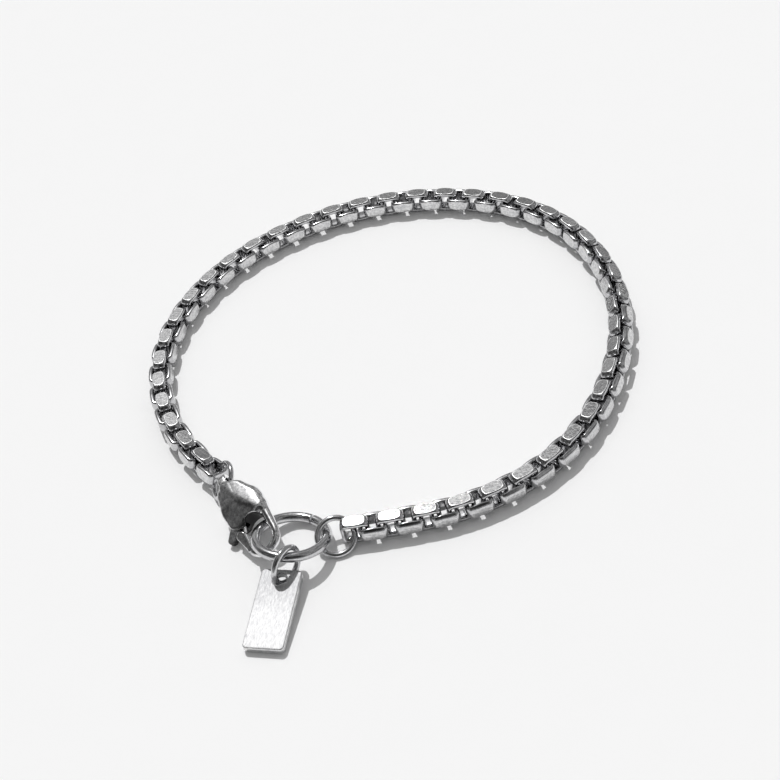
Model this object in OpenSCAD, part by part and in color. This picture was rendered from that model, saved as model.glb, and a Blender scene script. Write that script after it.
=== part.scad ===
// Chain bracelet, closed and lying on a surface: a box chain with rounded
// links, a lobster clasp hooked into a large ring, three small jump rings and
// a plain tag. Lengths are in millimetres, +Z is up and the surface is z = 0.

/* [Chain] */
// Length of one link along the chain
link_length = 3.5; // [3.45:0.01:3.55]
// Width of a link across its outer flats, and so of the chain
link_width = 3; // [2.9:0.05:3]
// Thickness of a link's band at its middle
link_wall = 0.6; // [0.5:0.02:0.6]
// Width of the band over the outer flats
flat_width = 1.7; // [1.5:0.05:1.74]
// Width of the band over the ends, which the next link has to clear
end_width = 1.36; // [1.2:0.02:1.4]
// Radius of a link's outer corners
link_corner = 0.5; // [0.4:0.05:0.6]

/* [Clasp] */
// Half thickness of the clasp where it is thickest
clasp_rise = 1.55; // [1.4:0.05:1.6]
// Half thickness of the lever
lever_rise = 0.36; // [0.3:0.01:0.38]
// Radius of the pin that the lever turns on
pin_r = 0.3; // [0.25:0.01:0.32]
// Angle to which the lever is opened, 0 is shut
lever_open = 0; // [0:1:10]

/* [Tag] */
// Width of the tag
tag_width = 4.8; // [4.5:0.1:5]
// Length of the tag
tag_length = 10.1; // [10:0.1:11]
// Thickness of the tag
tag_thick = 1; // [0.8:0.1:1.1]
// Diameter of the hole in the tag
tag_hole = 1.7; // [1.6:0.05:1.75]

/* [Hidden] */
$fn = 64;

// Places are measured from the middle of the wrist loop, and the middle of
// the whole bracelet's box lies here
box_middle = [1.27, 1.01];

// The chain's route from the link next to the large ring, around to the
// clasp: a row for each stretch, with its links, the angle it turns to the
// left, the pitch of its links and the angle by which they roll over
LINKS = 0;
TURN = 1;
PITCH = 2;
ROLL = 3;
route = [
    [4, 3, 2.06, 0],
    [6, 25, 2.01, 0],
    [6, 27, 2.02, 4],
    [6, 18, 1.94, 24],
    [6, 20, 2.01, 28],
    [6, 22, 2.05, 24],
    [8, 38, 2.03, 10],
    [8, 29, 2.09, 0],
    [8, 28, 2.10, 0],
    [8, 34, 2.11, 0],
    [6, 28, 2.13, 0],
    [6, 25, 2.08, 4],
    [4, 13, 2.09, 12],
];
first_link = [-7.48, -22.74];
first_heading = -6.1;

// The band of a link in section: depth under the outer face, and half width
// as a share of the band's own
DEPTH = 0;
SHARE = 1;
section = [[0, 0.97], [0.55, 1], [1, 0], [0.55, -1], [0, -0.97]];
// Angles of the three bends that round each corner of a link
bends = [0, 45, 90];
least_corner = 0.14;

// Rings: outside diameter, wire, middle, the compass side to which the ring's
// axis leans, and how far it leans from upright
OUTSIDE = 0;
WIRE = 1;
MIDDLE = 2;
SIDE = 3;
LEAN = 4;
big_ring_is = [9.4, 1.2, [-14.82, -22.1, 2.03], 56.8, 17.4];
chain_ring_is = [5, 0.7, [-9.82, -23.08, 1.42], -87.3, 29.6];
tag_ring_is = [4.9, 0.72, [-15.79, -26.47, 2.46], -42.4, 87.2];
end_ring_is = [5, 0.66, [-21.99, -10.92, 2.14], -172.9, 50.6];
// The cut in the large ring: its place round the ring and its width
seam_at = -8;
seam_width = 0.26;

// The clasp lies rolled over on its left edge with its tail a little up: its
// own middle, heading, roll and pitch. In its own frame +Y runs to the tail
// and +X to the hook's arm
clasp_at = [-18.5, -20.49, 1.84];
clasp_heading = 15.7;
clasp_roll = 26.8;
clasp_pitch = 8.9;
// The hook is a round bar bent round the claw's middle, with a straight arm
// that grows from the bar's radius to the root's
claw = [0.25, -0.7];
claw_r = 1.82;
hook_r = 0.5;
arm_start_r = 0.52;
arm_end_r = 0.62;
arm_length = 3.8;
// The body's outline seen from above, and seen from its edge, as arcs in turn:
// the middle and radius of each, and the angles where it starts and ends
RADIUS = 2;
FROM = 3;
TO = 4;
plan_arcs = [
    [1.72, 3.15, 1.05, -90, 0],
    [-0.05, 4.1, 2.8, 0, 45],
    [-0.45, 6.42, 1.7, 45, 150],
    [0.9, 4.6, 3.4, 165, 195],
    [-1.3, 2.85, 1.15, 195, 270],
];
edge_arcs = [
    [7.15, 0, 1, -75, 75],
    [4.45, 0, clasp_rise, 75, 105],
    [1.2, 0, 0.95, 105, 255],
    [4.45, 0, clasp_rise, 255, 285],
];
arc_step = 15;
// Seen from its end the body is bevelled at both sides: a corner of the bevel
// next to the side and one next to the top, across and up
girth_middle = [0.05, 0];
bevel_side = [2.8, 0.8];
bevel_top = [2, 1.7];
// The top of the opening above the claw, and its half width; lower down the
// opening's sides lie this deep in the hook's bar
opening_top = [0.35, 1.05];
opening_r = 1.4;
opening_ease = 0.04;
// The eye at the tail stands on edge: place, radii and thickness, and the
// place along the clasp and half width of its foot inside the body
eye_at = [-0.6, 8.25];
eye_r = 1.5;
eye_hole_r = 0.95;
eye_thick = 1.05;
eye_foot = [5.05, 1.35];
// The lever turns on a pin here; it runs down the open side of the claw
// through these circles, and its thumb tab stands out at the side
pivot = [-1.4, 3.05];
root_r = 0.78;
lever_knee = [-1.92, 1.2, 0.46];
lever_end = [-1.62, -0.9, 0.37];
tab_root = [-1.72, 3.08, 0.72];
tab_end = [-3.15, 1.65, 0.56];
// Below the body the lever is wider and thicker, from one half thickness to
// another, and its end is this much slimmer than the plate's
gate_head = [-1.8, 0.98, 0.6];
gate_rise = [0.82, 0.39];
gate_inset = 0.05;
// Place along the clasp of the hook's tip, which the lever's end meets
tip_at = -1.35;
lever_gap = 0.1;
pin_fit = 0.04;
pin_length = 2.3;
// Cuts that go right through are this long
through = 12;

// The tag leans on the ring's wire: the middle of its low edge, the compass
// side to which it runs up, and its slope
tag_foot = [-19.8, -35.8];
tag_heading = 69.6;
tag_slope = 5.8;
tag_corner = 0.55;
tag_hole_in = 1.35;

function sum_to(list, column, n) = n == 0 ? 0 : list[n - 1][column] + sum_to(list, column, n - 1);

steps = [for (row = route, k = [1:row[LINKS]])
    [k, row[TURN] / row[LINKS], row[PITCH], row[ROLL] / row[LINKS]]];
link_count = len(steps) + 1;

// Heading and roll of link n, both in degrees
function heading(n) = first_heading + sum_to(steps, TURN, n);
function roll(n) = 90 - sum_to(steps, ROLL, n);

// Middles of the links as seen from above: each step runs along the heading
// halfway between its two links
middles = [for (n = 0, p = first_link; n < link_count;
    p = n < link_count - 1 ? p + steps[n][PITCH] * [cos(heading(n) + steps[n][TURN] / 2),
                                                   sin(heading(n) + steps[n][TURN] / 2)] : p,
    n = n + 1) p];

// Height of a link's middle when its band or the next one's touches z = 0
function rest_height(angle) =
    let (s = abs(sin(angle)), c = abs(cos(angle)))
    link_width / 2 * max(s, c) + flat_width / 2 * min(s, c);

function even(n) = n % 2 == 0;

// Axes of link n: along the chain, to its outer flats, and across its band
function link_axes(n) =
    let (h = heading(n), r = roll(n),
         along = [cos(h), sin(h), 0],
         outward = [sin(h), -cos(h), 0],
         face = even(n) ? -cos(r) * outward + [0, 0, sin(r)] : sin(r) * outward + [0, 0, cos(r)])
    [along, face, cross(along, face)];

// One point of a link: quarter turn, bend within it, and place in the section
function link_point(quarter, bend, spot) =
    let (angle = 90 * quarter + bend,
         depth = spot[DEPTH] * link_wall,
         r = max(link_corner - depth, least_corner),
         sx = sign(cos(90 * quarter + 45)),
         sy = sign(sin(90 * quarter + 45)),
         lengthways = abs(sin(angle)),
         half = (end_width + (flat_width - end_width) * lengthways) / 2)
    [sx * (link_length / 2 - depth - r) + r * cos(angle),
     sy * (link_width / 2 - depth - r) + r * sin(angle),
     half * spot[SHARE]];

link_shape = [for (quarter = [0:3], bend = bends, spot = section) link_point(quarter, bend, spot)];

function link_points(n) =
    let (axes = link_axes(n), middle = [middles[n][0], middles[n][1], rest_height(roll(n))])
    [for (p = link_shape) middle + p * axes];

sides = len(section);
rings_round = 4 * len(bends);

// Two triangles for each patch between one ring of points and the next
link_faces = [for (j = [0:rings_round - 1], k = [0:sides - 1], half = [0, 1])
    let (a = j * sides + k,
         b = j * sides + (k + 1) % sides,
         c = (j + 1) % rings_round * sides + (k + 1) % sides,
         d = (j + 1) % rings_round * sides + k)
    half == 0 ? [a, b, c] : [a, c, d]];

module seat() {
    translate([-box_middle[0], -box_middle[1], 0]) children();
}

module ring(is, cut = 0) {
    seat() translate(is[MIDDLE]) rotate([0, is[LEAN], is[SIDE]]) rotate([0, 0, seam_at + cut / 2])
        rotate_extrude(angle = 360 - cut, $fn = 96)
            translate([(is[OUTSIDE] - is[WIRE]) / 2, 0]) circle(d = is[WIRE], $fn = 32);
}

module chain() {
    points = [for (n = [0:link_count - 1]) each link_points(n)];
    faces = [for (n = [0:link_count - 1], f = link_faces)
        [for (v = f) v + n * len(link_shape)]];
    color("silver") seat() polyhedron(points = points, faces = faces);
}

module big_ring() {
    color("lightgray") ring(big_ring_is, 360 * seam_width / (PI * (big_ring_is[OUTSIDE] - big_ring_is[WIRE])));
}

module chain_ring() {
    color("lightgray") ring(chain_ring_is);
}

module tag_ring() {
    color("lightgray") ring(tag_ring_is);
}

module end_ring() {
    color("lightgray") ring(end_ring_is);
}

module clasp_frame() {
    seat() translate(clasp_at) rotate([0, 0, clasp_heading]) rotate([clasp_pitch, 0, 0])
        rotate([0, -clasp_roll, 0]) children();
}

// Two circles [across, along, radius] and the straight sides that touch both
module taper(a, b) {
    d = [b[0] - a[0], b[1] - a[1]];
    lie = atan2(d[1], d[0]);
    lean = acos((a[2] - b[2]) / norm(d));
    for (c = [a, b]) translate([c[0], c[1]]) circle(r = c[2]);
    polygon([for (side = [[a, 1], [a, -1], [b, -1], [b, 1]])
        let (c = side[0], angle = lie + side[1] * lean)
        [c[0] + c[2] * cos(angle), c[1] + c[2] * sin(angle)]]);
}

function arc_points(arcs) = [for (a = arcs, angle = [a[FROM]:arc_step:a[TO]])
    [a[0] + a[RADIUS] * cos(angle), a[1] + a[RADIUS] * sin(angle)]];

module clasp_opening() {
    half = claw_r - hook_r - opening_ease;
    translate(claw) circle(r = half);
    translate(opening_top) circle(r = opening_r);
    translate([claw[0] - half, claw[1]]) square([2 * half, opening_top[1] - claw[1]]);
}

// The body seen from its end
module clasp_girth() {
    polygon([for (side = [[1, 1], [-1, 1], [-1, -1], [1, -1]],
                  corner = side[0] * side[1] > 0 ? [bevel_side, bevel_top] : [bevel_top, bevel_side])
        girth_middle + [side[0] * corner[0], side[1] * corner[1]]]);
}

module clasp_shell() {
    difference() {
        intersection() {
            linear_extrude(through, center = true) polygon(arc_points(plan_arcs));
            rotate([90, 0, 90]) linear_extrude(through, center = true) polygon(arc_points(edge_arcs));
            translate([0, pivot[1], 0]) rotate([90, 0, 0])
                linear_extrude(2 * through, center = true) clasp_girth();
        }
        linear_extrude(through, center = true) clasp_opening();
    }
}

// The hook's bend, cut level at its tip, and its arm up to the body
module hook() {
    difference() {
        translate([claw[0], claw[1], 0]) rotate([0, 0, 180]) rotate_extrude(angle = 180)
            translate([claw_r, 0]) circle(r = hook_r);
        translate([claw[0] - through, tip_at, -through / 2]) cube(through);
    }
    translate([claw[0] + claw_r, claw[1] + hook_r - arm_start_r, 0]) rotate([-90, 0, 0])
        cylinder(r1 = arm_start_r, r2 = arm_end_r, h = arm_length);
}

// The eye at the tail, on edge in the clasp's middle
module clasp_eye() {
    translate([eye_at[0], 0, 0]) rotate([90, 0, 90]) linear_extrude(eye_thick, center = true)
        taper([eye_at[1], 0, eye_r], [eye_foot[0], 0, eye_foot[1]]);
}

// The slot at the side that holds the lever's root, and leaves it room to turn
module lever_slot() {
    reach = root_r + lever_gap;
    linear_extrude(2 * (lever_rise + lever_gap), center = true) {
        translate(pivot) circle(r = reach);
        translate([pivot[0] - through, 0]) square([through + reach, pivot[1]]);
        translate([pivot[0] - through, 0]) square([through, pivot[1] + reach]);
    }
}

module clasp_body() {
    color("silver") clasp_frame() difference() {
        union() {
            clasp_shell();
            clasp_eye();
            hook();
        }
        translate([eye_at[0], eye_at[1], 0]) rotate([0, 90, 0]) cylinder(r = eye_hole_r, h = through, center = true);
        lever_slot();
        translate([pivot[0], pivot[1], 0]) cylinder(r = pin_r + pin_fit, h = through, center = true);
    }
}

// The lever's lower part, a wedge seen from its edge
module gate() {
    top = gate_head[1] + gate_head[2];
    low = tip_at + lever_gap;
    half = lever_end[2] - gate_inset;
    intersection() {
        linear_extrude(through, center = true) {
            taper(gate_head, [lever_end[0], lever_end[1], half]);
            translate([lever_end[0] - half, low]) square([2 * half, lever_end[1] - low]);
        }
        rotate([90, 0, 90]) linear_extrude(through, center = true)
            polygon([[top, gate_rise[0]], [low, gate_rise[1]], [low, -gate_rise[1]], [top, -gate_rise[0]]]);
    }
}

module clasp_lever() {
    color("gainsboro") clasp_frame()
        translate([pivot[0], pivot[1], 0]) rotate([0, 0, lever_open]) translate([-pivot[0], -pivot[1], 0])
        difference() {
            union() {
                gate();
                linear_extrude(2 * lever_rise, center = true) {
                    taper([pivot[0], pivot[1], root_r], lever_knee);
                    taper(lever_knee, lever_end);
                    translate([lever_end[0] - lever_end[2], tip_at + lever_gap])
                        square([2 * lever_end[2], lever_end[1] - tip_at - lever_gap]);
                    taper(tab_root, tab_end);
                }
            }
            translate([pivot[0], pivot[1], 0]) cylinder(r = pin_r + pin_fit, h = through, center = true);
        }
}

module clasp_pin() {
    color("gray") clasp_frame() translate([pivot[0], pivot[1], 0])
        cylinder(r = pin_r, h = pin_length, center = true);
}

module tag() {
    color("whitesmoke") seat() translate([tag_foot[0], tag_foot[1], 0])
        rotate([0, 0, tag_heading]) rotate([0, -tag_slope, 0]) linear_extrude(tag_thick) difference() {
            union() {
                for (x = [tag_corner, tag_length - tag_corner], y = [-1, 1])
                    translate([x, y * (tag_width / 2 - tag_corner)]) circle(r = tag_corner);
                translate([tag_corner, -tag_width / 2]) square([tag_length - 2 * tag_corner, tag_width]);
                translate([0, tag_corner - tag_width / 2]) square([tag_length, tag_width - 2 * tag_corner]);
            }
            translate([tag_length - tag_hole_in, 0]) circle(d = tag_hole);
        }
}

chain();
end_ring();
clasp_body();
clasp_lever();
clasp_pin();
big_ring();
chain_ring();
tag_ring();
tag();
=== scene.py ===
"""A chain bracelet lying closed on a pale surface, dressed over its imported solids.

Lengths are worked out in millimetres, and turned into metres when a mesh is made. A circle in an outline is
written as its place in the two directions that are seen, and its radius.
"""

import bpy
import numpy as np
from mathutils import Matrix, Vector


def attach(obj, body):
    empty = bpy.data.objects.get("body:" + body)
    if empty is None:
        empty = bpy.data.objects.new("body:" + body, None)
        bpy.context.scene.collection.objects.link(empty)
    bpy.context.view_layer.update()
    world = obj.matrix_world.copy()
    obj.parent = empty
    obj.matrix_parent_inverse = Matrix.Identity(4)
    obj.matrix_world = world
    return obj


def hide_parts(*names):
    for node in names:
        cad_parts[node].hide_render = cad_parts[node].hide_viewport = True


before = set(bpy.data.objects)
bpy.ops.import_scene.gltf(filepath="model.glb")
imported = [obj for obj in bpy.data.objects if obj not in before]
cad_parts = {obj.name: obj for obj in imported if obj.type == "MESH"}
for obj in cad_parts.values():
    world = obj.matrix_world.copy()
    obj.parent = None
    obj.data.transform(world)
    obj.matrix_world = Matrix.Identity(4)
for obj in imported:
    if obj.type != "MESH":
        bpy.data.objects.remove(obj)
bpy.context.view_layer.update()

MM = 0.001
# Places are measured from the middle of the wrist loop; the middle of the bracelet's box lies here
BOX_MIDDLE = np.array([1.27, 1.01, 0.0])

# The camera: degrees that it looks down, degrees of its roll, distance from the wrist loop's middle, lens
CAMERA_DOWN = 43.2
CAMERA_ROLL = -13.41
CAMERA_DISTANCE = 176.99
CAMERA_LENS = 64.6

# The chain's route: links in a stretch, angle it turns to the left, pitch, and angle its links roll over
ROUTE = [
    (4, 3, 2.06, 0), (6, 25, 2.01, 0), (6, 27, 2.02, 4), (6, 18, 1.94, 24), (6, 20, 2.01, 28),
    (6, 22, 2.05, 24), (8, 38, 2.03, 10), (8, 29, 2.09, 0), (8, 28, 2.10, 0), (8, 34, 2.11, 0),
    (6, 28, 2.13, 0), (6, 25, 2.08, 4), (4, 13, 2.09, 12),
]
FIRST_LINK = (-7.48, -22.74)
FIRST_HEADING = -6.1

# A link: its size, its band's wall and width at the long sides and at the ends, and its corners
LINK_LENGTH = 3.5
LINK_WIDTH = 3.0
LINK_WALL = 0.6
FLAT_WIDTH = 1.7
END_WIDTH = 1.36
LINK_OUTER_CORNER = 0.7
LINK_INNER_CORNER = 0.14
# How square the band's section is: the power of its sine and cosine
SECTION_POWER = 0.5
# The power of the sine by which the band widens from its ends to its long sides
WIDEN_POWER = 1.2
# How far the crown of an end falls at the band's edges, and the power that it falls by
END_FALL = 0.1
END_POWER = 2.5
# How much is ground off a link's crown, and the half length, half width and offset across the band of the
# flat that this leaves: on most sides, and on the outer sides of every second one of the first links
GROUND_OFF = 0.16
FLAT = (1.45, 0.9, 0.0)
NARROW_FLAT = (1.55, 0.62, 0.22)
NARROW_LINKS = 26
# The power that gives the flats their oval outline, and the most that the crown falls beside them
FLAT_POWER = 2.2
CROWN_FALL = 0.42
# Points round a link and round its band, and how strongly the first crowd into the corners
LINK_AROUND = 56
LINK_SECTION = 18
CORNER_CROWD = 0.16
# How far apart the steel's pattern is read for one link and the next
PATTERN_STEP = 7.0

# Rings: outside diameter, wire, middle, compass side of the axis's lean, and lean from upright
BIG_RING = (9.4, 1.2, (-14.82, -22.1, 2.03), 56.8, 17.4)
CHAIN_RING = (5.0, 0.7, (-9.82, -23.08, 1.42), -87.3, 29.6)
TAG_RING = (4.9, 0.72, (-15.79, -26.47, 2.46), -42.4, 87.2)
END_RING = (5.0, 0.66, (-21.99, -10.92, 2.14), -172.9, 50.6)
# The big ring's cut: its place, its width, and how far the wire's ends are eased
SEAM_AT = -8.0
SEAM_WIDTH = 0.26
SEAM_EASE = 0.07

# The clasp's own middle, and its heading, roll and pitch
CLASP_AT = np.array([-18.5, -20.49, 1.84])
CLASP_TURN = (15.7, 26.8, 8.9)
# Its claw's middle and radius, the hook's wire, and the arm that joins the hook to the body
CLAW = (0.25, -0.7)
CLAW_R = 1.82
HOOK_R = 0.5
ARM_END_R = 0.62
ARM_LENGTH = 3.8
# The body's half thickness, the circle that ends the opening above the claw, and how much narrower than the
# claw the opening starts
CLASP_RISE = 1.55
OPENING_TOP = (0.35, 1.05, 1.4)
OPENING_TRIM = 0.04
# The eye at the tail: its middle, radius, hole and thickness
EYE_AT = (-0.6, 8.25)
EYE_R = 1.5
EYE_HOLE_R = 0.95
EYE_THICK = 1.05
# The lever: its pin's place and radius, its root, its half thickness, and its gaps to the body and the pin
PIVOT = (-1.4, 3.05)
PIN_R = 0.3
ROOT_R = 0.78
LEVER_RISE = 0.36
LEVER_GAP = 0.1
PIN_GAP = 0.04
# Where the hook's tip ends
TIP_AT = -1.35

# The tag: middle of its low edge, compass side it runs up to and slope, sizes, corners, and the place and
# radius of its hole
TAG_FOOT = np.array([-19.8, -35.8, 0.0])
TAG_TURN = (69.6, 5.8)
TAG_SIZE = (10.1, 4.8, 1.0)
TAG_CORNER = 0.55
TAG_HOLE = (8.75, 0.85)


def set_camera():
    """Stand at the photograph's place and look along +Y, downwards, rolled to the left."""
    down, roll = np.radians(CAMERA_DOWN), np.radians(CAMERA_ROLL)
    level, over = np.array([1.0, 0, 0]), np.array([0, np.sin(down), np.cos(down)])
    back = np.array([0, -np.cos(down), np.sin(down)])
    right = level * np.cos(roll) + over * np.sin(roll)
    upward = over * np.cos(roll) - level * np.sin(roll)
    data = bpy.data.cameras.new("photo_camera")
    data.sensor_width = 36.0
    data.lens = CAMERA_LENS
    data.clip_start, data.clip_end = 0.01, 20.0
    camera = bpy.data.objects.new("photo_camera", data)
    bpy.context.scene.collection.objects.link(camera)
    turn = np.eye(4)
    turn[:3, :3] = np.column_stack([right, upward, back])
    turn[:3, 3] = (CAMERA_DISTANCE * back - BOX_MIDDLE) * MM
    camera.matrix_world = Matrix(turn.tolist())
    bpy.context.scene.camera = camera


def rotation(axis, degrees):
    """The matrix that turns points about +X, +Y or +Z."""
    angle = np.radians(degrees)
    c, s = np.cos(angle), np.sin(angle)
    i, j = {"x": (1, 2), "y": (2, 0), "z": (0, 1)}[axis]
    turn = np.eye(3)
    turn[i, i] = turn[j, j] = c
    turn[i, j], turn[j, i] = -s, s
    return turn


def piece(name, points, faces, body, material, node, attributes=None):
    """Make a mesh from points in the wrist frame, let it ride on a body and stand for a CAD node."""
    mesh = bpy.data.meshes.new(name)
    places = (points.reshape(-1, 3) - BOX_MIDDLE) * MM
    mesh.from_pydata(places.tolist(), [], [list(f) for f in faces])
    for label, values in (attributes or {}).items():
        kind, field = ("FLOAT_VECTOR", "vector") if values.ndim == 2 else ("FLOAT", "value")
        layer = mesh.attributes.new(label, kind, "POINT")
        layer.data.foreach_set(field, values.astype(np.float32).ravel())
    mesh.polygons.foreach_set("use_smooth", np.ones(len(mesh.polygons), bool))
    mesh.materials.append(material)
    mesh.validate()
    mesh.update()
    thing = bpy.data.objects.new(name, mesh)
    bpy.context.scene.collection.objects.link(thing)
    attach(thing, body)
    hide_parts(node)


def circle_steps(count):
    """Angles evenly spaced round a circle."""
    return np.arange(count) / count * 2 * np.pi


def closed_grid(rows, columns):
    """Quads of a grid whose rows and columns both run round and close."""
    a = np.arange(rows)[:, None] * columns + np.arange(columns)[None]
    b = np.roll(a, -1, 1)
    c, d = np.roll(b, -1, 0), np.roll(a, -1, 0)
    return np.stack([a, b, c, d], -1).reshape(-1, 4)


def rod_faces(rows, sides):
    """Quads of a rod made of rows of points, and one face at each of its ends."""
    faces = closed_grid(rows, sides)[:(rows - 1) * sides].tolist()
    faces.append(list(range(sides))[::-1])
    faces.append(list(range((rows - 1) * sides, rows * sides)))
    return faces


# Chain

def link_axes():
    """Middle and axes of every link: each step runs along the heading halfway between two links.

    The axes are along the chain, to the link's outer flats, and across its band. A link's middle is as high
    as lets its band or the next one's touch the surface.
    """
    turn = np.concatenate([np.full(n, a / n) for n, a, _, _ in ROUTE])
    pitch = np.concatenate([np.full(n, p) for n, _, p, _ in ROUTE])
    rolled = np.concatenate([np.full(n, r / n) for n, _, _, r in ROUTE])
    heading = np.radians(FIRST_HEADING + np.concatenate([[0], np.cumsum(turn)]))
    roll = np.radians(90 - np.concatenate([[0], np.cumsum(rolled)]))
    between = heading[:-1] + np.radians(turn) / 2
    step = pitch[:, None] * np.column_stack([np.cos(between), np.sin(between)])
    flat = np.array(FIRST_LINK) + np.vstack([[0, 0], np.cumsum(step, 0)])
    s, c = np.abs(np.sin(roll)), np.abs(np.cos(roll))
    height = LINK_WIDTH / 2 * np.maximum(s, c) + FLAT_WIDTH / 2 * np.minimum(s, c)
    along = np.column_stack([np.cos(heading), np.sin(heading), 0 * heading])
    outward = np.column_stack([np.sin(heading), -np.cos(heading), 0 * heading])
    even = (np.arange(len(heading)) % 2 == 0)[:, None]
    up = np.array([0, 0, 1.0])
    face = np.where(even, -np.cos(roll)[:, None] * outward + np.sin(roll)[:, None] * up,
                    np.sin(roll)[:, None] * outward + np.cos(roll)[:, None] * up)
    return np.column_stack([flat, height]), along, face, np.cross(along, face)


def signed_power(x, power):
    """The power of the size of x, with the sign of x."""
    return np.sign(x) * np.abs(x) ** power


def rounded_rectangle(a, b, r, angle):
    """Points of a rectangle of half sides a and b with corners of radius r, met by rays at the angles."""
    c, s = np.abs(np.cos(angle)), np.abs(np.sin(angle))
    straight = np.minimum(a / np.maximum(c, 1e-9), b / np.maximum(s, 1e-9))
    # the ray from the middle to the corner's circle round (a - r, b - r)
    px, py = a - r, b - r
    mid = c * px + s * py
    arc = mid + np.sqrt(np.maximum(mid ** 2 - (px ** 2 + py ** 2 - r ** 2), 0))
    in_corner = (straight * c > px) & (straight * s > py)
    reach = np.where(in_corner, arc, straight)
    return reach * np.cos(angle), reach * np.sin(angle)


def link_surface(upper_flat):
    """One link as a grid of points, and by how much each would rise above the ground flats.

    The band's path is a rounded rectangle. Its section is a squarish oval whose outer side is crowned; the
    crown is then cut level at the link's width, which leaves an oval flat on each outer side.
    """
    # angles are spaced so that the corners get half of all the rows
    u = (np.arange(LINK_AROUND) + 0.5) / LINK_AROUND * 2 * np.pi
    A, V = np.meshgrid(u + CORNER_CROWD * np.sin(4 * u), circle_steps(LINK_SECTION), indexing="ij")
    lengthways = np.abs(np.sin(A)) ** WIDEN_POWER
    half = (END_WIDTH + (FLAT_WIDTH - END_WIDTH) * lengthways) / 2
    depth_share = (1 - signed_power(np.cos(V), SECTION_POWER)) / 2
    across = half * signed_power(np.sin(V), SECTION_POWER)
    fall = END_FALL * (1 - depth_share) * (1 - lengthways) * (np.abs(across) / half) ** END_POWER
    depth = depth_share * LINK_WALL + fall
    corner = LINK_OUTER_CORNER + (LINK_INNER_CORNER - LINK_OUTER_CORNER) * depth / LINK_WALL
    x, y = rounded_rectangle(LINK_LENGTH / 2 - depth, LINK_WIDTH / 2 - depth, corner, A)
    # over the long sides the crown falls with powers of the shares of the flat's half sizes
    half_x, half_across, offset = [np.where(y > 0, a, b) for a, b in zip(upper_flat, FLAT)]
    share_along = (np.abs(x) / half_x) ** FLAT_POWER
    share_across = (np.abs(across - offset) / half_across) ** FLAT_POWER
    swell = np.maximum(GROUND_OFF * (1 - share_along - share_across), -CROWN_FALL)
    swell = swell * lengthways * (1 - depth_share)
    ground = np.abs(y) + swell - LINK_WIDTH / 2
    y = np.sign(y) * np.minimum(np.abs(y) + swell, LINK_WIDTH / 2)
    return np.stack([x, y, across], -1).reshape(-1, 3), ground.ravel()


def make_chain(material):
    """Lay the link's grid out along every link's axes, with the marks that the chain's steel reads."""
    middle, along, face, across = link_axes()
    count = len(middle)
    wide, narrow = link_surface(FLAT), link_surface(NARROW_FLAT)
    kinds = [narrow if n % 2 and n < NARROW_LINKS else wide for n in range(count)]
    shape = np.stack([kind[0] for kind in kinds])
    ground = np.concatenate([kind[1] for kind in kinds])
    offset = sum(shape[:, :, k:k + 1] * axis[:, None] for k, axis in enumerate((along, face, across)))
    grid = closed_grid(LINK_AROUND, LINK_SECTION)
    faces = (grid[None] + (np.arange(count) * shape.shape[1])[:, None, None]).reshape(-1, 4)
    # the pattern's own place: millimetres along and across the band, and a number for each link's side
    side = np.where(shape[:, :, 1] > 0, 0.5, 0.0)
    number = (np.arange(count)[:, None] + side) * PATTERN_STEP
    own = np.stack([shape[:, :, 0], shape[:, :, 2], number], -1).reshape(-1, 3)
    facing = (np.sign(shape[:, :, 1:2]) * face[:, None]).reshape(-1, 3)
    piece("chain_links", middle[:, None] + offset, faces, "bracelet", material, "chain",
          {"ground": ground, "band_place": own, "facing": facing})


# Rings

def wire_points(ring, u, r, sides):
    """A round wire carried round the ring's circle: at each angle u it has the radius r."""
    outside, wire, middle, side, lean = ring
    e1, e2, axis = (rotation("z", side) @ rotation("y", lean)).T
    radial = (np.cos(u)[:, None] * e1 + np.sin(u)[:, None] * e2)[:, None]
    v = circle_steps(sides)[None, :, None]
    return np.array(middle) + (outside - wire) / 2 * radial + r * (np.cos(v) * radial + np.sin(v) * axis)


def make_ring(name, ring, material, node, turns=160, sides=28):
    """A torus: a wire of one radius carried round a whole circle."""
    points = wire_points(ring, circle_steps(turns), ring[1] / 2, sides)
    piece(name, points, closed_grid(turns, sides)[:, ::-1], "bracelet", material, node)


def make_cut_ring(name, ring, material, node, turns=180, sides=32):
    """A wire carried round a circle up to the cut, with its two ends eased and closed.

    Close to each end the wire's radius follows a quarter circle down to a small round face.
    """
    radius, wire = (ring[0] - ring[1]) / 2, ring[1] / 2
    quarter = np.linspace(0, np.pi / 2, 6)
    u_end = SEAM_WIDTH / 2 / radius + SEAM_EASE / radius * (1 - np.sin(quarter))
    r_end = wire - SEAM_EASE * (1 - np.cos(quarter))
    u_middle = np.linspace(u_end[0], 2 * np.pi - u_end[0], turns)[1:-1]
    u = np.concatenate([u_end[::-1], u_middle, 2 * np.pi - u_end]) + np.radians(SEAM_AT)
    r = np.concatenate([r_end[::-1], np.full(turns - 2, wire), r_end])
    faces = [face[::-1] for face in rod_faces(len(u), sides)]
    points = wire_points(ring, u, r[:, None, None], sides)
    piece(name, points, faces, "bracelet", material, node)


# Shapes given by a distance field: negative inside, in the piece's own frame

def taper(p, q, a, b):
    """Distance in the plane to the shape round two circles and their outer tangents."""
    a, b = np.array(a, float), np.array(b, float)
    d = b[:2] - a[:2]
    length = np.hypot(*d)
    d = d / length
    along = (p - a[0]) * d[0] + (q - a[1]) * d[1]
    off = np.abs((p - a[0]) * -d[1] + (q - a[1]) * d[0])
    lean = (a[2] - b[2]) / length
    side = np.sqrt(max(1 - lean ** 2, 0))
    k = along * side - off * lean
    near = np.hypot(along, off) - a[2]
    far = np.hypot(along - length, off) - b[2]
    return np.where(k < 0, near, np.where(k > side * length, far, off * side + along * lean - a[2]))


def disc(p, q, middle, radius):
    """Distance in the plane to a circle."""
    return np.hypot(p - middle[0], q - middle[1]) - radius


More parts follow.
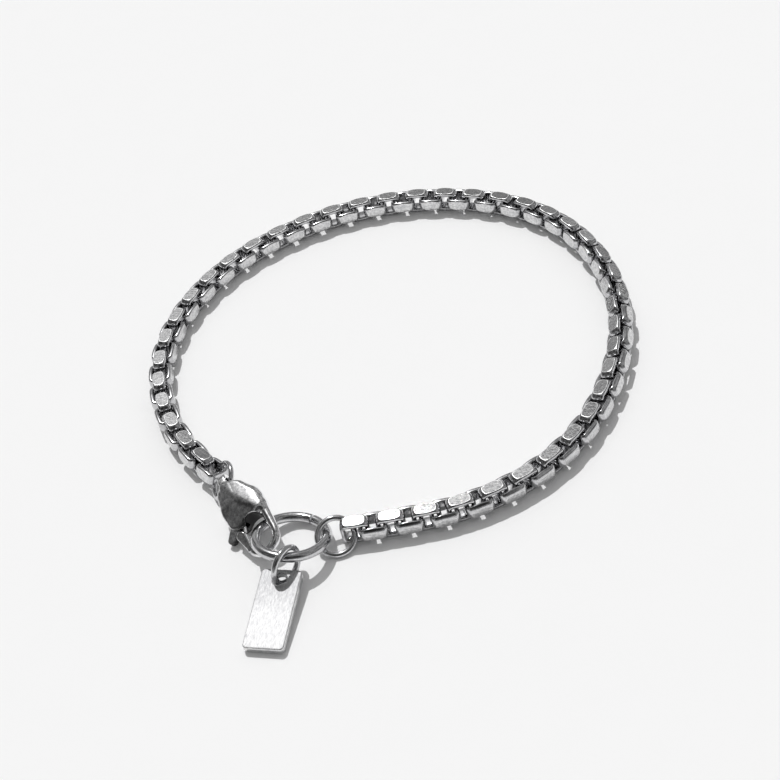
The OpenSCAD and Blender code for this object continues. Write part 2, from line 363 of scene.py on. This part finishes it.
def join(a, b, soft):
    """The nearer of two distances, with a fillet of about that size where they meet."""
    h = np.clip(0.5 + 0.5 * (b - a) / soft, 0, 1)
    return b + (a - b) * h - soft * h * (1 - h)


def meet(a, b, soft):
    """The farther of two distances, with a rounded edge of about that size."""
    return -join(-a, -b, soft)


def slab(d, z, half, soft):
    """A flat shape of plane distance d, as thick as twice half, with rounded edges."""
    return meet(d, np.abs(z) - half, soft)


def plane(x, y, z, through, normal):
    """Distance above a plane that leans as its normal says and passes a point."""
    n = np.array(normal) / np.linalg.norm(normal)
    return (x - through[0]) * n[0] + (y - through[1]) * n[1] + (z - through[2]) * n[2]


def clasp_opening(x, y):
    """The opening above the claw, seen from above."""
    claw_hollow = (*CLAW, CLAW_R - HOOK_R - OPENING_TRIM)
    return np.minimum(taper(x, y, claw_hollow, OPENING_TOP), disc(x, y, OPENING_TOP, OPENING_TOP[2]))


def clasp_shell(x, y, up):
    """The clasp's body and eye, as a distance field that is the same above and below.

    An outline seen from above meets one seen from the side. The top is made of four faces: a level one at
    the tail, one that falls towards the claw, a long flank at the arm's side and a small facet beside the
    tail.
    """
    # circles seen from above
    heart, pin_cheek, arm_cheek = (0.12, 4.3, 2.58), (-1.3, 2.85, 1.15), (1.72, 3.15, 1.05)
    tail, tail_arm_side = (-0.5, 6.4, 1.62), (0.1, 6.35, 1.6)
    # circles seen from the side
    thickest, claw_end, tail_end, eye_foot = (4.45, 0, 1.7), (1.2, 0, 0.95), (8.0, 0, 1.5), (5.05, 0, 1.35)
    # how far the facet lies below the level face, and the eye's top below the facet
    facet_drop, eye_drop = 0.08, 0.16
    # the top's leaning faces: a point of each, and its normal
    claw_face = (0, 4.7, CLASP_RISE), (0, -0.14, 0.99)
    flank_face = (0.8, 4.6, CLASP_RISE), (0.438, 0.075, 0.896)
    facet_face = (0.35, 5.24, CLASP_RISE - facet_drop), (0.293, 0.075, 0.953)

    cheeks = join(taper(x, y, heart, pin_cheek), taper(x, y, heart, arm_cheek), soft=0.2)
    plan = join(cheeks, join(taper(x, y, heart, tail), taper(x, y, heart, tail_arm_side), soft=0.1), soft=0.2)
    edge = join(taper(y, up, thickest, claw_end), taper(y, up, thickest, tail_end), soft=0.3)
    face = meet(up - CLASP_RISE, plane(x, y, up, *claw_face), soft=0.3)
    flank = meet(face, plane(x, y, up, *flank_face), soft=0.5)
    facet = plane(x, y, up, *facet_face)
    # the edge at the arm's side is rounder than the other
    round_edge, rounder_by, rounder_from = 0.42, 0.25, 0.4
    roundness = round_edge + rounder_by * np.clip(x - rounder_from, 0, 1)
    shell = meet(meet(plan, meet(flank, facet, soft=0.03), roundness), edge, soft=0.3)
    shell = meet(shell, -clasp_opening(x, y), soft=0.2)
    eye = slab(taper(y, up, (EYE_AT[1], 0, EYE_R), eye_foot), x - EYE_AT[0], EYE_THICK / 2, soft=0.25)
    return join(shell, meet(eye, facet + eye_drop, soft=0.2), soft=0.3)


def clasp_hook(x, y, z):
    """The clasp's hook: a wire round the claw, cut at its tip, and a thickening arm up to the body."""
    far = 9.0
    ring_off = disc(x, y, CLAW, CLAW_R)
    bend = np.where(y < CLAW[1], np.hypot(ring_off, z) - HOOK_R, far)
    bend = meet(bend, np.where(x < CLAW[0], y - TIP_AT, -far), soft=0.12)
    t = np.clip((y - CLAW[1]) / ARM_LENGTH, 0, 1)
    arm_line = np.sqrt((x - CLAW[0] - CLAW_R) ** 2 + z ** 2 + (y - CLAW[1] - t * ARM_LENGTH) ** 2)
    return np.minimum(bend, arm_line - (HOOK_R + (ARM_END_R - HOOK_R) * t))


def clasp_body_field(x, y, z):
    """The clasp's cast body, eye and hook as one form, with the lever's slot and the eye's hole cut out."""
    up = np.abs(z)
    body = join(clasp_shell(x, y, up), clasp_hook(x, y, z), soft=0.4)
    body = meet(body, -disc(y, z, (EYE_AT[1], 0), EYE_HOLE_R), soft=0.2)
    # the slot is round at the lever's root, and open below it and beside it
    reach = ROOT_R + LEVER_GAP
    below, beside = y - PIVOT[1], x - PIVOT[0]
    in_slot = np.minimum(disc(x, y, PIVOT, reach), np.maximum(beside - reach, np.maximum(below, -y)))
    in_slot = np.minimum(in_slot, np.maximum(beside, np.maximum(below - reach, -y)))
    return meet(body, -np.maximum(in_slot, up - LEVER_RISE - LEVER_GAP), soft=0.06)


def lever_field(x, y, z):
    """The lever: a plate round its pin with a thumb tab, and a thicker gate from the body to the tip."""
    knee, end, slim_end = (-1.92, 1.2, 0.46), (-1.62, -0.9, 0.37), (-1.62, -0.9, 0.32)
    tab_root, tab_tip, gate_head = (-1.72, 3.08, 0.72), (-3.15, 1.65, 0.56), (-1.8, 0.98, 0.6)
    # the gate's half thickness at the tip, what it gains up to its head, and the length that it gains it on
    tip_rise, more_rise, rise_length = 0.39, 0.43, 2.93
    gate_inset = 0.05
    low = TIP_AT + LEVER_GAP - y
    flat = np.minimum(taper(x, y, (*PIVOT, ROOT_R), knee), taper(x, y, knee, end))
    foot = np.maximum(np.abs(x - end[0]) - end[2], y - end[1])
    flat = join(np.minimum(flat, foot), taper(x, y, tab_root, tab_tip), soft=0.15)
    plate = slab(np.maximum(flat, low), z, LEVER_RISE, soft=0.12)
    plate = meet(plate, -disc(x, y, PIVOT, PIN_R + PIN_GAP), soft=0.03)
    gate = np.minimum(taper(x, y, gate_head, slim_end), foot + gate_inset)
    rise = tip_rise + more_rise * np.clip((y - TIP_AT) / rise_length, 0, 1)
    gate = meet(slab(gate, z, rise, soft=0.2), low, soft=0.1)
    return join(plate, gate, soft=0.1)


def tag_field(x, y, z):
    """The tag: a plate with round corners, eased edges and a round hole near its upper end."""
    length, width, thick = TAG_SIZE
    dx = np.abs(x - length / 2) - length / 2 + TAG_CORNER
    dy = np.abs(y) - width / 2 + TAG_CORNER
    plan = np.hypot(np.maximum(dx, 0), np.maximum(dy, 0)) + np.minimum(np.maximum(dx, dy), 0) - TAG_CORNER
    plate = slab(plan, z - thick / 2, thick / 2, soft=0.22)
    return meet(plate, -disc(x, y, (TAG_HOLE[0], 0), TAG_HOLE[1]), soft=0.12)


def slope_of(field, points, small):
    """The field's slope along each axis, from its values a small step to either side."""
    return np.stack([(field(*(points + small * axis).T) - field(*(points - small * axis).T)) / (2 * small)
                     for axis in np.eye(3)], 1)


CORNERS = np.array([[i, j, k] for i in (0, 1) for j in (0, 1) for k in (0, 1)])
CELL_EDGES = [(a, b) for a in range(8) for b in range(a + 1, 8) if np.abs(CORNERS[a] - CORNERS[b]).sum() == 1]
# How often a point is moved towards the surface, the least squared slope that it is moved by, and the share
# of a grid step that a slope is measured over
SETTLE_ROUNDS = 3
LEAST_SLOPE = 0.2
SLOPE_SHARE = 0.05
# For each skin: the lowest and highest corner of the box that it is looked for in, and its grid's step
BODY_SKIN = (-3.3, -3.3, -2.0), (3.2, 10.1, 2.0), 0.075
LEVER_SKIN = (-4.1, -1.7, -0.95), (-0.3, 4.2, 0.95), 0.06
TAG_SKIN = (-0.3, -2.8, -0.2), (10.4, 2.8, 1.2), 0.09


def skin(field, low, high, step):
    """Wrap the surface where the field is zero.

    Each grid cell that the surface passes gets one point, at the mean of where its edges cross zero, which is
    then moved down the field's slope onto the surface. Each grid edge with a change of sign gets a quad.
    """
    axes = [np.arange(lo, hi + step, step) for lo, hi in zip(low, high)]
    grid = field(*np.meshgrid(*axes, indexing="ij"))
    inside = grid < 0
    shape = tuple(n - 1 for n in grid.shape)
    count = np.zeros(shape, int)
    for i, j, k in CORNERS:
        count += inside[i:i + shape[0], j:j + shape[1], k:k + shape[2]]
    cells = np.argwhere((count > 0) & (count < 8))
    number = np.full(shape, -1)
    number[tuple(cells.T)] = np.arange(len(cells))
    values = np.stack([grid[tuple((cells + c).T)] for c in CORNERS], 1)
    total, hits = np.zeros((len(cells), 3)), np.zeros((len(cells), 1))
    for a, b in CELL_EDGES:
        crosses = (values[:, a] < 0) != (values[:, b] < 0)
        share = np.where(crosses, values[:, a] / np.where(crosses, values[:, a] - values[:, b], 1), 0)
        place = CORNERS[a] + share[:, None] * (CORNERS[b] - CORNERS[a])
        total += np.where(crosses[:, None], place, 0)
        hits += crosses[:, None]
    points = np.array(low) + (cells + total / hits) * step
    for _ in range(SETTLE_ROUNDS):
        slope = slope_of(field, points, step * SLOPE_SHARE)
        move = -field(*points.T)[:, None] * slope / np.maximum((slope ** 2).sum(1), LEAST_SLOPE)[:, None]
        points += np.clip(move, -step / 2, step / 2)
    faces = []
    for axis in range(3):
        i, j = (axis + 1) % 3, (axis + 2) % 3
        first = np.take(inside, range(grid.shape[axis] - 1), axis)
        second = np.take(inside, range(1, grid.shape[axis]), axis)
        edges = np.argwhere(first != second)
        held = (edges[:, i] > 0) & (edges[:, j] > 0) & (edges[:, i] < shape[i]) & (edges[:, j] < shape[j])
        edges = edges[held]
        outward = first[tuple(edges.T)]
        around = []
        for di, dj in ((1, 1), (0, 1), (0, 0), (1, 0)):
            cell = edges.copy()
            cell[:, i] -= di
            cell[:, j] -= dj
            around.append(number[tuple(cell.T)])
        quad = np.stack(around, 1)
        quad[~outward] = quad[~outward][:, ::-1]
        faces.append(quad)
    return points, np.concatenate(faces)


def clasp_marks(points, field):
    """How much each point lies on an inner wall, and how much it faces sideways in the clasp's own frame.

    Inner walls are the steep walls of the opening, the body's end towards the claw, and the lever's slot; the
    steel is painted near black there as painted shade. Where it faces sideways the steel is painted brighter,
    a painted highlight of the lit surface that its rims mirror.
    """
    x, y, z = points.T
    near, wall_width = 0.02, 0.06
    slope = slope_of(field, points, near)
    slope /= np.maximum(np.linalg.norm(slope, axis=1), 1e-6)[:, None]
    level = np.abs(slope[:, 2])
    wall = np.clip(1.5 - np.abs(clasp_opening(x, y)) / wall_width, 0, 1) * (level < 0.6) * (y > 0.2)
    foot = np.clip(-2 * slope[:, 1] - 0.3, 0, 1) * (x < -0.3) * (y > 1)
    slot = (np.abs(z) < LEVER_RISE + LEVER_GAP + near) * (disc(x, y, PIVOT, ROOT_R + LEVER_GAP) < near)
    # inner walls carry painted shade, sideways faces a painted highlight
    inner = np.maximum(np.maximum(wall, foot), slot)
    return {"inner": inner, "sideways": np.clip(1.4 - 2 * level, 0, 1)}


def clasp_place(points):
    """Points of the clasp's own frame, in the wrist frame."""
    heading, roll, pitch = CLASP_TURN
    turn = rotation("z", heading) @ rotation("x", pitch) @ rotation("y", -roll)
    return CLASP_AT + points @ turn.T


def tag_place(points):
    """Points of the tag's own frame, in the wrist frame."""
    turn = rotation("z", TAG_TURN[0]) @ rotation("y", -TAG_TURN[1])
    return TAG_FOOT + points @ turn.T


def make_clasp_piece(name, field, box, body, material, node):
    """Skin a field of the clasp's own frame, and mark its inner walls."""
    points, faces = skin(field, *box)
    marks = clasp_marks(points, field)
    piece(name, clasp_place(points), faces, body, material, node, marks)


def make_pin(material):
    """A round pin with eased ends: a profile of radius and height, spun about the pin's axis."""
    half, ease, sides = 1.15, 0.06, 32
    quarter = np.linspace(0, np.pi / 2, 5)
    r = PIN_R - ease + ease * np.concatenate([np.sin(quarter), np.cos(quarter)])
    h = np.concatenate([-half + ease - ease * np.cos(quarter), half - ease + ease * np.sin(quarter)])
    v = circle_steps(sides)
    x, y = PIVOT[0] + r[:, None] * np.cos(v), PIVOT[1] + r[:, None] * np.sin(v)
    points = np.stack([x, y, h[:, None] + 0 * v], -1)
    faces = rod_faces(len(r), sides)
    piece("hinge_pin", clasp_place(points), faces, "bracelet", material, "clasp_pin")


# Materials

class Nodes:
    """A node tree with short helpers. A number, a colour or another node's output can feed a socket."""

    def __init__(self, tree):
        self.nodes, self.links = tree.nodes, tree.links

    def add(self, kind, inputs=None, **settings):
        node = self.nodes.new(kind)
        for key, value in settings.items():
            setattr(node, key, value)
        for key, value in (inputs or {}).items():
            self.feed(node.inputs[key], value)
        return node

    def feed(self, socket, value):
        if isinstance(value, bpy.types.NodeSocket):
            self.links.new(value, socket)
        else:
            socket.default_value = value

    def math(self, operation, *values):
        return self.add("ShaderNodeMath", dict(enumerate(values)), operation=operation).outputs[0]

    def noise(self, at, scale, detail=2.0, rough=0.5):
        inputs = {"Vector": at, "Scale": scale, "Detail": detail, "Roughness": rough}
        return self.add("ShaderNodeTexNoise", inputs).outputs[0]

    def between(self, value, low, high, to_low=0.0, to_high=1.0, curve="LINEAR"):
        """Where a value lies between two numbers, as a share or between two other numbers."""
        values = {0: value, 1: low, 2: high, 3: to_low, 4: to_high}
        return self.add("ShaderNodeMapRange", values, interpolation_type=curve, clamp=True).outputs[0]


class Finish(Nodes):
    """A material's nodes and its shader."""

    def __init__(self, name, metal=1.0):
        self.material = bpy.data.materials.new(name)
        self.material.use_nodes = True
        super().__init__(self.material.node_tree)
        self.shader = self.nodes["Principled BSDF"]
        self.shader.inputs["Metallic"].default_value = metal

    def stretch(self, at, scale, turn=(0.0, 0.0, 0.0)):
        """A place scaled along its axes and then turned."""
        return self.add("ShaderNodeMapping", {"Vector": at, "Scale": scale, "Rotation": turn}).outputs[0]

    def place(self, scale=(1.0, 1.0, 1.0), turn=(0.0, 0.0, 0.0)):
        """Object coordinates in millimetres, stretched by the scale and turned."""
        at = self.add("ShaderNodeTexCoord").outputs["Object"]
        return self.stretch(at, tuple(s / MM for s in scale), turn)

    def attribute(self, name, output="Fac"):
        return self.add("ShaderNodeAttribute", attribute_name=name).outputs[output]

    def part(self, at, axis):
        return self.add("ShaderNodeSeparateXYZ", {0: at}).outputs[axis]

    def bump(self, height, strength, distance, normal=None):
        node = self.add("ShaderNodeBump", {"Height": height, "Strength": strength, "Distance": distance})
        if normal is not None:
            self.feed(node.inputs["Normal"], normal)
        return node.outputs[0]

    def mix(self, share, a, b):
        """A number between two others."""
        return self.add("ShaderNodeMix", {0: share, 2: a, 3: b}).outputs[0]

    def colour(self, share, a, b):
        """A colour between two others, given as red, green and blue or as outputs."""
        a, b = [c if isinstance(c, bpy.types.NodeSocket) else (*c, 1.0) for c in (a, b)]
        return self.add("ShaderNodeMix", {0: share, 6: a, 7: b}, data_type="RGBA").outputs[2]

    def dress(self, base, rough, normal):
        """Feed the shader."""
        for name, value in (("Base Color", base), ("Roughness", rough), ("Normal", normal)):
            self.feed(self.shader.inputs[name], value)
        return self.material


def ring_steel():
    """Polished steel: faint unevenness that bends its reflections, fine wear lines and duller patches."""
    f = Finish("ring_steel")
    at = f.place()
    wide, fine = f.noise(at, 0.9), f.noise(at, 6.0, 3.0)
    lines = f.noise(f.place((9.0, 1.5, 4.0), (0.3, 0.5, 0.4)), 1.0, 3.0)
    base = f.colour(f.between(fine, 0.3, 0.7), (0.50, 0.50, 0.51), (0.68, 0.68, 0.69))
    rough = f.between(wide, 0.35, 0.65, 0.084, 0.18)
    waves = f.bump(wide, 0.1, 0.0001)
    height = f.math("ADD", fine, f.math("MULTIPLY", lines, 0.5))
    return f.dress(base, rough, f.bump(height, 0.05, 0.00002, waves))


def clasp_steel():
    """The clasp's steel: polished and mottled on its faces, with a painted highlight on its edges and painted
    shade on its inner walls.
    """
    f = Finish("clasp_steel")
    at = f.place()
    wide, fine = f.noise(at, 0.8), f.noise(at, 2.6, 5.0, 0.7)
    base = f.colour(f.between(fine, 0.36, 0.64), (0.46, 0.46, 0.47), (0.96, 0.96, 0.96))
    # painted highlight: the steel is painted brighter where it faces sideways, to brighten the lit surface it
    # mirrors
    base = f.colour(f.attribute("sideways"), base, (0.9, 0.9, 0.91))
    # painted shade: the inner walls are painted near black
    base = f.colour(f.attribute("inner"), base, (0.1, 0.1, 0.1))
    rough = f.between(wide, 0.35, 0.65, 0.1, 0.16)
    return f.dress(base, rough, f.bump(fine, 0.08, 0.00005, f.bump(wide, 0.2, 0.0001)))


def chain_steel():
    """The chain's steel: polished bands, and flats ground duller with fine dimples and a thin painted
    highlight along their edge.
    """
    f = Finish("chain_steel")
    own, rise = f.attribute("band_place", "Vector"), f.attribute("ground")
    inside = f.between(rise, -0.002, 0.006)
    # painted highlight: a thin band round each flat's edge is painted brighter
    painted_rim_highlight = f.math("MULTIPLY", f.between(rise, -0.022, -0.008), f.between(rise, 0.01, 0.0))
    dimple = f.noise(own, 3.2, 3.0, 0.6)
    scratch = f.noise(f.stretch(own, (2.0, 11.0, 1.0)), 1.0, 3.0)
    spots = f.between(dimple, 0.35, 0.65)
    flat = f.colour(spots, (0.5, 0.5, 0.51), (0.78, 0.78, 0.78))
    band = f.colour(spots, (0.46, 0.46, 0.47), (0.66, 0.66, 0.67))
    base = f.colour(painted_rim_highlight, f.colour(inside, band, flat), (0.88, 0.88, 0.88))
    # a ground flat is level, so its normal is the link's own; those that face up are smoother
    level = f.add("ShaderNodeVectorTransform", {0: f.attribute("facing", "Vector")}, vector_type="NORMAL",
                  convert_from="OBJECT", convert_to="WORLD").outputs[0]
    flat_rough = f.between(f.part(level, "Z"), 0.6, 0.9, 0.11, 0.055)
    rough = f.mix(painted_rim_highlight, f.mix(inside, 0.12, flat_rough), 0.5)
    round_normal = f.add("ShaderNodeNewGeometry").outputs["Normal"]
    normal = f.add("ShaderNodeMix", {0: inside, 4: round_normal, 5: level}, data_type="VECTOR").outputs[1]
    height = f.math("ADD", dimple, f.math("MULTIPLY", scratch, 0.5))
    strength = f.math("MULTIPLY_ADD", inside, 0.6, 0.08)
    return f.dress(base, rough, f.bump(height, strength, 0.00003, normal))


def tag_steel():
    """The tag's brushed steel: long fine lines and faint cloudy wear, with painted shade that greys the half
    with the hole.
    """
    f = Finish("tag_steel")
    side = np.radians(TAG_TURN[0])
    along = f.place(turn=(0.0, 0.0, -side))
    lines = f.noise(f.stretch(along, (1.2, 11.0, 11.0)), 1.0, 4.0, 0.65)
    cloud = f.noise(f.place(), 1.6, 4.0, 0.65)
    tone = f.math("ADD", f.math("MULTIPLY", lines, 0.6), f.math("MULTIPLY", cloud, 0.4))
    # painted shade: the steel turns greyer along the tag towards its hole
    foot = float((TAG_FOOT - BOX_MIDDLE)[:2] @ (np.cos(side), np.sin(side)))
    low, high = foot + 0.4 * TAG_SIZE[0], foot + 0.8 * TAG_SIZE[0]
    painted_shade_to_hole = f.between(f.part(along, "X"), low, high, 0.0, 0.09)
    bright = f.between(f.math("SUBTRACT", tone, painted_shade_to_hole), 0.36, 0.58)
    base = f.colour(bright, (0.5, 0.5, 0.51), (0.84, 0.84, 0.84))
    # the edges are polished, the faces dull
    level = f.math("ABSOLUTE", f.part(f.add("ShaderNodeNewGeometry").outputs["Normal"], "Z"))
    rough = f.mix(f.between(level, 0.5, 0.95), 0.25, f.between(cloud, 0.3, 0.7, 0.66, 0.74))
    return f.dress(base, rough, f.bump(tone, 0.25, 0.00003))


def surface_paper():
    """The pale surface that the bracelet lies on."""
    f = Finish("pale_surface", metal=0.0)
    grain = f.noise(f.place(), 0.15)
    f.feed(f.shader.inputs["Base Color"], f.colour(grain, (0.876, 0.876, 0.876), (0.884, 0.884, 0.884)))
    f.shader.inputs["Roughness"].default_value = 0.9
    f.shader.inputs["Specular IOR Level"].default_value = 0.0
    return f.material


# Surroundings

# Half the side of the surface that the bracelet lies on, in metres
FLOOR_HALF = 3.0

# The shadow of a point one unit up falls this far to the right and towards the camera
SHADOW = (0.12, -0.65, -1.0)
# Lamps: name, strength, how many degrees wide it looks, way that it shines, and whether the steel mirrors it
LAMPS = [("key", 2.25, 0.9, SHADOW, True), ("fill", 0.55, 140, (0, 0, -1), False)]
# The room's light, and how much darker and brighter it gets in patches
ROOM_LIGHT = 0.3
ROOM_DARKER = 0.3
ROOM_BRIGHTER = 1.7
# Patches of the room: direction, angles from it where the patch is full and where it ends, and its strength.
# The first is a soft glow round the key, which adds light; the others take a share of the room's light away
GLOW = ((-0.12, 0.65, 1.0), 8, 22, 0.85)
DARK = [((0.0, -0.73, 0.68), 14, 38, 0.85), ((-0.75, 0.0, 0.66), 16, 44, 0.65)]


def make_floor():
    """A wide level square under the bracelet."""
    mesh = bpy.data.meshes.new("surface")
    corners = [(x * FLOOR_HALF, y * FLOOR_HALF, 0) for x, y in ((-1, -1), (1, -1), (1, 1), (-1, 1))]
    mesh.from_pydata(corners, [], [(0, 1, 2, 3)])
    mesh.materials.append(surface_paper())
    floor = bpy.data.objects.new("surface", mesh)
    bpy.context.scene.collection.objects.link(floor)


def light_scene():
    """A hard key light from behind with a soft glow round it, a soft fill, and a grey, uneven room."""
    for name, energy, width, way, mirrored in LAMPS:
        light = bpy.data.lights.new(name, "SUN")
        light.energy = energy
        light.angle = np.radians(width)
        lamp = bpy.data.objects.new(name, light)
        lamp.rotation_mode = "QUATERNION"
        lamp.rotation_quaternion = Vector(way).to_track_quat("-Z", "Y")
        lamp.visible_glossy = mirrored
        bpy.context.scene.collection.objects.link(lamp)

    world = bpy.data.worlds.new("room")
    bpy.context.scene.world = world
    world.use_nodes = True
    w = Nodes(world.node_tree)
    at = w.add("ShaderNodeTexCoord").outputs["Generated"]

    def patch(direction, full, end, strength):
        """A round patch, from the cosine of the angle to its direction."""
        unit = Vector(direction).normalized()
        cosine = w.add("ShaderNodeVectorMath", {0: at, 1: unit}, operation="DOT_PRODUCT").outputs["Value"]
        full, end = np.cos(np.radians(full)), np.cos(np.radians(end))
        return w.between(cosine, end, full, 0.0, strength, "SMOOTHSTEP")

    clutter = w.noise(at, 4.0, 3.0)
    room = w.between(clutter, 0.33, 0.67, ROOM_LIGHT * ROOM_DARKER, ROOM_LIGHT * ROOM_BRIGHTER, "SMOOTHSTEP")
    for dark in DARK:
        room = w.math("MULTIPLY", room, w.math("SUBTRACT", 1.0, patch(*dark)))
    w.feed(w.nodes["Background"].inputs["Color"], w.math("ADD", room, patch(*GLOW)))
    w.nodes["Background"].inputs["Strength"].default_value = 1.0
    bpy.context.scene.view_settings.view_transform = "Standard"


set_camera()
light_scene()
make_floor()

polished, cast = ring_steel(), clasp_steel()
make_chain(chain_steel())
make_cut_ring("large_ring", BIG_RING, polished, "big_ring")
make_ring("chain_end_ring", CHAIN_RING, polished, "chain_ring")
make_ring("tag_jump_ring", TAG_RING, polished, "tag_ring")
make_ring("clasp_end_ring", END_RING, polished, "end_ring")

make_clasp_piece("lobster_clasp", clasp_body_field, BODY_SKIN, "bracelet", cast, "clasp_body")
make_clasp_piece("thumb_lever", lever_field, LEVER_SKIN, "lever", cast, "clasp_lever")
make_pin(cast)
tag_points, tag_faces = skin(tag_field, *TAG_SKIN)
piece("plain_tag", tag_place(tag_points), tag_faces, "bracelet", tag_steel(), "tag")
